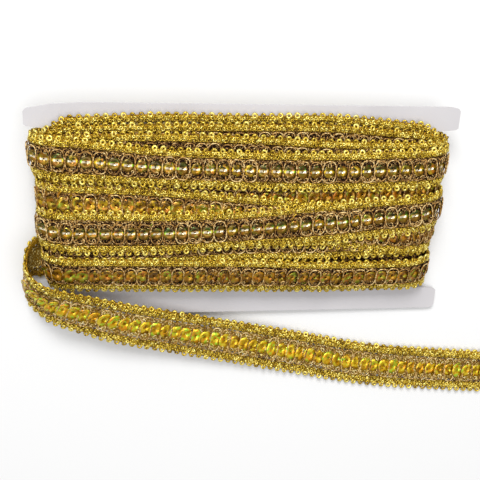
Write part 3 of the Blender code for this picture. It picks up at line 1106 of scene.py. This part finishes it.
    def stitches(self, shop: Workshop, side: int) -> bpy.types.Object:
        """Makes the crochet stitches of the ground between an edging and the thread loops.

        Args:
            shop: the materials and trees.
            side: 1 for the upper row, -1 for the lower one.

        Returns:
            The stitches.
        """
        edge = "upper" if side > 0 else "lower"
        places = []
        for number, share in enumerate(self.shares(self.stitch_pitch)):
            step, lift = self.stitch_rows[number % len(self.stitch_rows)]
            places.append(self.strip.place(share, side * (self.mesh_place + step), lift * MM))
        # An open mesh takes the stitch thread's lit copy, with its light painted in
        material = shop.palette.lit_stitch if self.open_lit_mesh else shop.palette.stitch
        return grow(f"{self.name}_{edge}_stitches", guide_mesh(places), shop.rings, {
            "Ring Width": 0.0012, "Ring Height": 0.0018, "Cord Radius": 0.00017,
            "Ring Steps": 7, "Cord Sides": 3, "Turn Spread": (0.4, 0.4, 1.2),
            "Seed": self.seed + 10 + side, "Material": material})

    def thread_loops(self, shop: Workshop) -> bpy.types.Object:
        """Makes the upright oval thread loops that hold the sequins."""
        places = [self.strip.place(s, 0.0, self.loop_lift) for s in self.shares(self.sequin_pitch)]
        return grow(self.name + "_loops", guide_mesh(places), shop.rings, {
            "Ring Width": self.sequin_pitch - 0.0001, "Ring Height": self.loop_height,
            "Cord Radius": self.thread_radius, "Roundness": 0.70, "Ring Steps": 18, "Cord Sides": 4,
            "Turn Spread": (0.05, 0.08, 0.08), "Seed": self.seed + 20,
            "Material": shop.palette.loop})

    def sequins(self, shop: Workshop) -> bpy.types.Object:
        """Makes the row of sequins, each over the edge of the next."""
        places = []
        for share in self.shares(self.sequin_pitch):
            flat = self.strip.place(share, 0.0, self.sequin_lift)
            lean = Matrix.Rotation(math.radians(self.sequin_lean), 3, flat.out.cross(flat.along))
            places.append(Place(flat.point, lean @ flat.along, lean @ flat.out))
        return grow(self.name + "_sequins", guide_mesh(places), shop.shapes, {
            "Shape": shop.sequins[self.look], "Turn Spread": (0.12, 0.12, 0.0), "Seed": self.seed + 30,
            "Material": shop.palette.film[self.look]})

    def build(self, shop: Workshop) -> list[bpy.types.Object]:
        """Makes every row that shows.

        Args:
            shop: the materials and trees.

        Returns:
            The pieces, the ground first.
        """
        made = [self.ground(shop)]
        if self.rows.upper_edging:
            made += self.edging(shop, 1)
        if self.rows.lower_edging:
            made += self.edging(shop, -1)
        if self.rows.upper_mesh:
            made.append(self.stitches(shop, 1))
        if self.rows.lower_mesh:
            made.append(self.stitches(shop, -1))
        if self.rows.loops:
            made.append(self.thread_loops(shop))
        if self.rows.sequins:
            made.append(self.sequins(shop))
        return made


@dataclass(frozen=True)
class Turn:
    """One turn of the winding: where its edgings run, in millimetres on the card's frame.

    upper and lower are places up the card at five stations from the left end to the right end,
    each followed by its places at the two very ends. back holds the two places at the middle of
    the back, and heights how far the lower edging, the middle and the upper edging stand off.
    """

    name: str
    upper: tuple[float, ...]
    upper_ends: tuple[float, float]
    lower: tuple[float, ...]
    lower_ends: tuple[float, float]
    back: tuple[float, float]
    heights: tuple[float, float, float]
    rows: Rows
    look: Sequins = Sequins.BARRED
    open_lit_mesh: bool = False
    sequin_pitch: float = 0.0048

    def strip(self) -> Strip:
        """Returns the turn's strip, a braid's depth below the outer line that heights give."""
        def between(a: tuple[float, ...], b: tuple[float, ...]) -> tuple[float, ...]:
            """Returns the places halfway between two lines."""
            return tuple(0.5 * (x + y) for x, y in zip(a, b))

        low, mid, high = (h - BRAID_DEPTH / MM for h in self.heights)
        lines = (
            WoundLine(self.lower, self.lower_ends, self.back[1], low),
            WoundLine(between(self.upper, self.lower), between(self.upper_ends, self.lower_ends),
                      0.5 * (self.back[0] + self.back[1]), mid),
            WoundLine(self.upper, self.upper_ends, self.back[0], high))
        return Strip([line.rail() for line in lines], True, lambda x: resting_height(x) + BRAID_DEPTH)


UPPER_EDGE = Rows(lower_edging=False, lower_mesh=False, loops=False, sequins=False)
UPPER_LOOPS = Rows(lower_edging=False, lower_mesh=False, sequins=False)
TURNS = (
    Turn("first_turn", (38.2, 39.7, 39.5, 39.7, 37.1), (33.0, 32.8),
         (25.2, 26.7, 26.5, 26.7, 24.1), (20.0, 19.8), (37.8, 24.8), (3.0, 3.2, 3.4),
         UPPER_EDGE, open_lit_mesh=True),
    Turn("second_turn", (35.6, 36.2, 36.7, 36.6, 34.2), (32.7, 32.3),
         (22.6, 23.2, 23.7, 23.6, 21.2), (19.7, 19.3), (33.0, 20.0), (5.0, 5.4, 5.6), UPPER_LOOPS),
    Turn("third_turn", (32.6, 33.2, 32.4, 30.8, 30.6), (32.3, 31.4),
         (19.6, 20.2, 19.4, 17.8, 17.6), (19.3, 18.4), (29.5, 16.5), (7.6, 8.0, 8.0), UPPER_LOOPS),
    Turn("hidden_band", (16.9, 16.1, 15.3, 16.3, 18.1), (17.1, 19.3),
         (3.9, 3.1, 2.3, 3.3, 5.1), (4.1, 6.3), (14.0, 1.0), (9.4, 9.8, 9.8),
         Rows(upper_edging=False, lower_edging=False), Sequins.SHADED),
    Turn("low_band", (-4.6, -4.4, -3.0, -2.8, -1.6), (-4.4, -1.0),
         (-17.6, -17.4, -16.0, -15.8, -14.6), (-17.4, -14.0), (-4.0, -16.5), (9.4, 9.9, 9.9),
         Rows(upper_edging=False, upper_mesh=False, sequins=False)),
    Turn("second_band", (13.8, 12.3, 9.4, 6.4, 4.4), (14.3, 4.0),
         (0.8, -0.7, -3.6, -6.6, -8.6), (1.3, -9.0), (9.5, -3.5), (10.2, 10.7, 10.6),
         Rows(lower_edging=False, lower_mesh=False), Sequins.GOLDEN, sequin_pitch=0.00475),
    Turn("right_band", (3.5, 3.5, 3.0, 2.4, -0.4), (4.0, 0.4),
         (-9.5, -9.5, -10.0, -10.6, -13.4), (-9.0, -12.6), (2.0, -11.0), (10.2, 10.5, 10.5),
         Rows(upper_edging=False, upper_mesh=False), Sequins.SHADED),
    Turn("top_band", (31.4, 28.1, 26.8, 26.6, 27.7), (31.6, 28.6),
         (17.2, 15.7, 14.5, 13.7, 14.5), (18.9, 16.0), (25.5, 11.5), (11.6, 11.5, 10.2),
         Rows(), Sequins.BARRED, sequin_pitch=0.0051),
    Turn("last_band", (-16.2, -16.7, -17.4, -18.8, -18.6), (-15.4, -17.3),
         (-29.0, -29.7, -30.3, -31.0, -30.6), (-28.8, -29.9), (-17.0, -30.0), (7.4, 10.0, 10.6),
         Rows(), Sequins.SHADED, sequin_pitch=0.00465),
    Turn("middle_band", (3.4, 2.8, 3.7, 6.8, 9.2), (3.2, 10.6),
         (-11.6, -11.7, -9.8, -8.0, -4.7), (-9.6, -2.4), (3.0, -9.5), (11.4, 11.9, 11.2),
         Rows(), Sequins.BARRED, sequin_pitch=0.0049),
)


@dataclass
class Winding:
    """The wound trim: the inner turns as one body, and the outer turns as lengths of braid."""

    inner_depth: float = 2.4
    inner_lines: tuple[WoundLine, ...] = (
        WoundLine((33.0, 34.6, 35.4, 34.6, 32.6), (30.6, 30.4), 36.0, 3.6),
        WoundLine((30.0, 30.6, 30.0, 29.2, 29.2), (29.8, 29.0), 28.0, 7.6),
        WoundLine((26.0, 24.0, 23.0, 22.8, 24.5), (26.0, 24.5), 21.5, 10.0),
        WoundLine((14.0, 12.6, 12.0, 12.6, 14.8), (14.0, 14.8), 9.5, 10.0),
        WoundLine((3.2, 3.3, 3.6, 5.0, 8.0), (3.2, 8.0), 3.0, 10.4),
        WoundLine((-10.9, -11.4, -10.4, -8.6, -6.0), (-9.9, -5.0), -9.5, 10.2),
        WoundLine((-15.6, -16.4, -17.2, -18.0, -17.0), (-15.6, -17.0), -17.0, 9.6),
        WoundLine((-24.0, -24.6, -25.2, -25.6, -25.0), (-24.0, -25.0), -25.0, 8.6),
        WoundLine((-28.4, -28.8, -29.6, -30.0, -29.2), (-28.4, -29.2), -29.4, 5.4),
    )

    def inner_turns(self, shop: Workshop) -> bpy.types.Object:
        """Makes the body of the inner turns, with the card's slot through it.

        Args:
            shop: the materials and trees.

        Returns:
            The body.
        """
        rings = [replace(line, height=line.height - self.inner_depth).rail()
                 for line in self.inner_lines]
        around = len(rings[0])
        back_to_card = card_frame().inverted()
        for ring in (rings[-1], rings[0]):
            flat = []
            for point in ring:
                u, v, w = back_to_card @ point
                half_u, half_w = 0.5 * WAIST_LENGTH + GAP, 0.5 * CARD_THICKNESS + GAP
                u = min(max(u, -half_u), half_u)
                w = min(max(w, -half_w), half_w)
                flat.append(card_frame() @ Vector((u, v, w)))
            rings.append(flat)
        verts = [Vector((p.x, p.y, max(p.z, resting_height(p.x) + 0.0008))) for r in rings for p in r]
        faces = []
        for i in range(len(rings)):
            k = (i + 1) % len(rings)
            for j in range(around):
                m = (j + 1) % around
                faces.append((i * around + j, k * around + j, k * around + m, i * around + m))
        return plain_piece("inner_turns", verts, faces, shop.palette.ground)

    def build(self, shop: Workshop) -> None:
        """Makes the inner turns and every outer turn, and tells the frame what they are.

        Args:
            shop: the materials and trees.
        """
        core = self.inner_turns(shop)
        register([core], "winding")
        for number, turn in enumerate(TURNS):
            strip = turn.strip()
            braid = Braid(turn.name, strip, turn.rows, turn.look, 100 * (number + 1), turn.sequin_pitch,
                          turn.open_lit_mesh)
            made = braid.build(shop)
            register(made, "winding")
            log.info("%s: %.0f mm round, %d pieces", turn.name, strip.length / MM, len(made))


def register(made: list[bpy.types.Object], node: str) -> None:
    """Tells the frame what pieces stand for.

    Args:
        made: the pieces.
        node: the CAD node that they replace.
    """
    for piece in made:
        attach(piece, "root")
        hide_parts(node)


@dataclass(frozen=True)
class Station:
    """One place along the loose end: its middle in millimetres, and how its width lies."""

    x: float
    y: float
    z: float
    heading: float
    tilt: float


@dataclass
class LooseEnd:
    """The trim's loose end: out from under the winding, round its left end and along the table."""

    stations: tuple[Station, ...] = (
        Station(-63.0, -17.5, 1.2, 0.0, 0.0),
        Station(-72.0, -17.7, 1.2, 0.0, 0.0),
        Station(-80.4, -18.4, 2.2, 0.0, 3.0),
        Station(-86.2, -19.8, 6.4, 8.0, 28.0),
        Station(-87.4, -23.4, 10.2, 9.5, 39.0),
        Station(-86.2, -28.9, 14.0, 9.5, 37.0),
        Station(-81.9, -33.5, 15.4, 8.0, 33.0),
        Station(-76.2, -37.1, 14.8, 8.5, 27.0),
        Station(-63.6, -41.6, 12.5, 10.0, 17.5),
        Station(-50.9, -45.7, 10.3, 10.3, 10.5),
        Station(-28.1, -51.3, 6.9, 10.3, 7.0),
        Station(-2.0, -57.2, 4.1, 10.5, 3.2),
        Station(26.0, -63.4, 1.7, 10.5, 0.0),
        Station(54.0, -69.0, 1.1, 9.0, 0.0),
        Station(82.0, -71.9, 1.1, 5.5, 0.0),
        Station(114.0, -74.2, 1.1, 2.5, 0.0),
    )
    lowest: float = 0.0011

    def value(self, name: str, place: float) -> float:
        """Returns one value of the stations at a place among them."""
        place = min(max(place, 0.0), len(self.stations) - 1.0)
        return smooth_between(tuple(getattr(s, name) for s in self.stations), place)

    def strip(self) -> Strip:
        """Returns the loose end's strip, by the CAD model's rule for its stations."""
        rails: list[list[Vector]] = [[], [], []]
        steps = 10 * (len(self.stations) - 1)
        for i in range(steps + 1):
            at = i / 10
            centre = Vector([self.value(name, at) for name in "xyz"]) * MM
            centre.z = max(centre.z, self.lowest)
            heading = math.radians(self.value("heading", at))
            tilt = math.radians(self.value("tilt", at))
            wide = Vector((math.sin(heading) * math.cos(tilt), math.cos(heading) * math.cos(tilt),
                           math.sin(tilt)))
            for rail, side in zip(rails, (-1, 0, 1)):
                rail.append(centre + wide * (side * EDGING_PLACE * MM))
        return Strip(rails, False, lambda x: 0.0005)

    def build(self, shop: Workshop) -> None:
        """Makes the loose end and tells the frame what it is.

        Args:
            shop: the materials and trees.
        """
        strip = self.strip()
        braid = Braid("loose_end", strip, Rows(), Sequins.BRIGHT, 2000, 0.0043, open_lit_mesh=True,
                      sequin_lean=16.0, loop_height=0.0100, mesh_place=5.5)
        made = braid.build(shop)
        register(made, "tail")
        log.info("loose_end: %.0f mm long, %d pieces", strip.length / MM, len(made))


@dataclass
class WhiteCard:
    """The winding card: the CAD node keeps its shape and gets the board's finish."""

    node: str = "card"

    def dress(self, shop: Workshop) -> None:
        """Gives the card its material."""
        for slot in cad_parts[self.node].material_slots:
            slot.material = shop.palette.board
        log.info("card: coated board")


@dataclass
class Studio:
    """The plain pale floor, the soft light and the camera at the photograph's viewing angle."""

    camera_place: tuple[float, float, float] = (-0.0294, 0.04709, 0.2877)
    camera_turn: tuple[float, float, float] = (-11.875, -5.448, 0.975)
    lens: float = 52.27
    floor_white: str = "#e4e4e4"

    def floor(self) -> None:
        """Lays the floor."""
        size = 3.0
        mesh = bpy.data.meshes.new("floor")
        mesh.from_pydata([(-size, -size, 0), (size, -size, 0), (size, size, 0), (-size, size, 0)],
                         [], [(0, 1, 2, 3)])
        material = bpy.data.materials.new("matt white paper")
        material.use_nodes = True
        shader = material.node_tree.nodes["Principled BSDF"]
        shader.inputs["Base Color"].default_value = linear(self.floor_white)
        shader.inputs["Roughness"].default_value = 0.9
        mesh.materials.append(material)
        sheet = put_in_scene("floor", mesh)

    def light(self, name: str, place: tuple[float, float, float], power: float, size: float) -> None:
        """Hangs one soft square light that faces the object.

        Args:
            name: the light's name.
            place: where it hangs, in metres.
            power: its power in watts.
            size: its side in metres.
        """
        data = bpy.data.lights.new(name, "AREA")
        data.energy = power
        data.size = size
        lamp = put_in_scene(name, data)
        lamp.location = place
        lamp.rotation_euler = (-Vector(place)).to_track_quat("-Z", "Y").to_euler()

    def camera(self) -> None:
        """Sets up the camera."""
        data = bpy.data.cameras.new("camera")
        data.lens = self.lens
        data.sensor_width = 36.0
        data.clip_start = 0.01
        eye = put_in_scene("camera", data)
        eye.location = self.camera_place
        eye.rotation_euler = tuple(math.radians(a) for a in self.camera_turn)
        bpy.context.scene.camera = eye

    def build(self) -> None:
        """Sets up the floor, lights, camera and the pale surroundings."""
        self.floor()
        self.light("window light", (-0.15, 0.70, 0.80), 9.6, 0.45)
        self.light("overhead light", (0.2, -0.1, 1.1), 5.6, 0.9)
        world = bpy.data.worlds.new("pale room")
        world.use_nodes = True
        shade = world.node_tree.nodes["Background"]
        shade.inputs["Color"].default_value = (1.0, 1.0, 1.0, 1.0)
        shade.inputs["Strength"].default_value = 0.40
        bpy.context.scene.world = world
        bpy.context.scene.view_settings.view_transform = "Standard"
        self.camera()


def main() -> None:
    """Builds the looks in order."""
    logging.basicConfig(level=logging.INFO, format="%(name)s: %(message)s")
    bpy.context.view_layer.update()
    shop = Workshop()
    WhiteCard().dress(shop)
    Winding().build(shop)
    LooseEnd().build(shop)
    for shape in shop.sequins.values():
        bpy.data.objects.remove(shape)
    Studio().build()
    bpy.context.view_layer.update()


if __name__ == "__main__":
    main()
